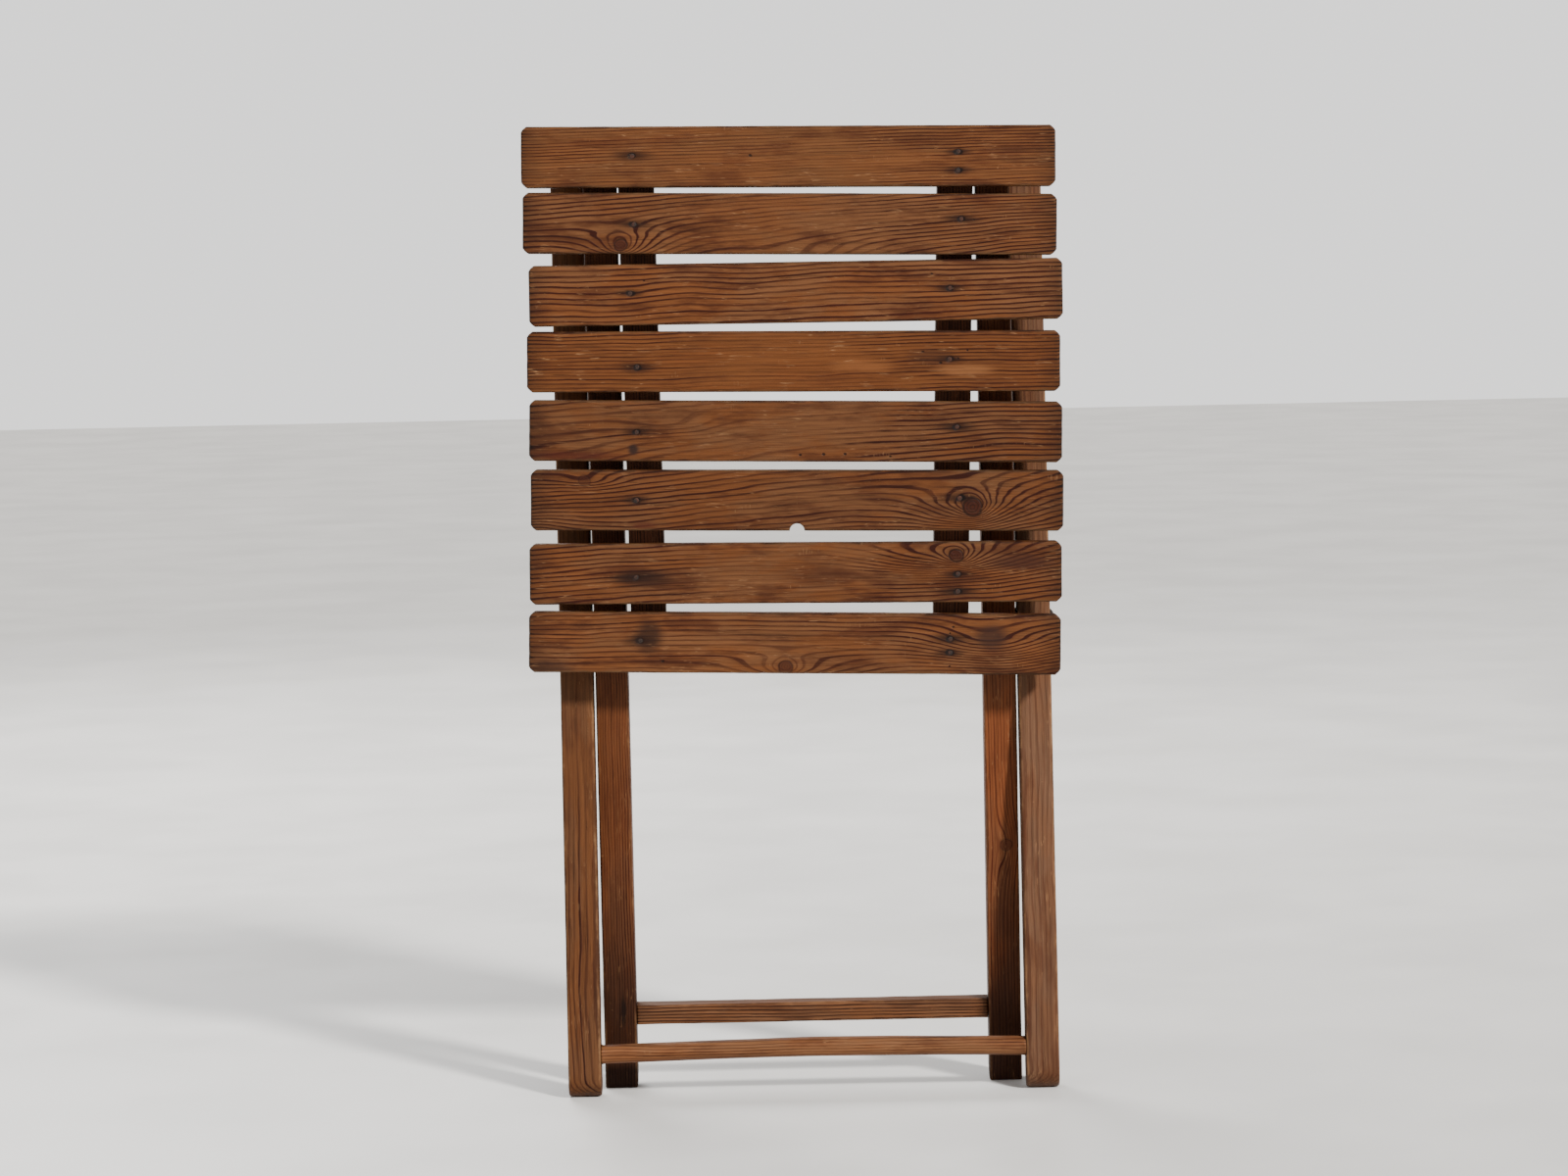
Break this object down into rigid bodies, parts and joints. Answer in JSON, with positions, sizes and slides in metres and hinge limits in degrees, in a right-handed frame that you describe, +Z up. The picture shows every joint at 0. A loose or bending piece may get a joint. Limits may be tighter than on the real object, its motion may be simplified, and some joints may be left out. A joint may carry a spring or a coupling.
{
  "type": "folding table",
  "caption": "Small slatted wooden folding table with crossed leg frames, folded flat and standing upright on its leg ends.",
  "frame": {"origin": "on the floor under the middle of the bounding box of the folded, standing table", "axes": "+Z up along the folded legs; the slats face -Y; +X to the right of someone who looks at the slats"},
  "size_m": [0.4696, 0.1158, 0.8499],
  "materials": {
    "slat_wood": "worn, oiled, open grain",
    "leg_wood": "worn, aged",
    "dark_wood": "dark, aged",
    "crossbar_wood": "bare, worn",
    "iron": "dark, rusted"
  },
  "bodies": {
    "inner_frame": {"inner_leg_left": "leg_wood", "inner_leg_right": "leg_wood", "inner_stretcher": "dark_wood", "inner_stretcher_nails": "iron", "top_pivot_bolt_left": "iron", "top_pivot_bolt_right": "iron", "top_pivot_washer_left": "iron", "top_pivot_washer_right": "iron", "top_pivot_nut_left": "iron", "top_pivot_nut_right": "iron", "scissor_bolt_left": "iron", "scissor_bolt_right": "iron", "scissor_washer_left": "iron", "scissor_washer_right": "iron", "scissor_nut_left": "iron", "scissor_nut_right": "iron"},
    "tabletop": {"slat_1": "slat_wood", "slat_2": "slat_wood", "slat_3": "slat_wood", "slat_4": "slat_wood", "slat_5": "slat_wood", "slat_6": "slat_wood", "slat_7": "slat_wood", "slat_8": "slat_wood", "batten_left": "dark_wood", "batten_right": "dark_wood", "slat_nails_left": "iron", "slat_nails_right": "iron"},
    "outer_frame": {"outer_leg_left": "leg_wood", "outer_leg_right": "leg_wood", "outer_stretcher": "dark_wood", "outer_stretcher_nails": "iron", "crossbar": "crossbar_wood", "crossbar_nails": "iron"}
  },
  "joints": [
    {"name": "top_fold", "type": "hinge", "parent": "inner_frame", "child": "tabletop", "pos_m": [0.00546, -0.00713, 0.82], "axis": [-1, 0, 0], "range_deg": [-1.5, 55]},
    {"name": "scissor_fold", "type": "hinge", "parent": "inner_frame", "child": "outer_frame", "pos_m": [0.00546, 0.0036, 0.41014], "axis": [-1, 0, 0], "range_deg": [-3, 110]}
  ],
  "couplings": [
    {"joint": "scissor_fold", "follows": "top_fold", "ratio": 2}
  ]
}
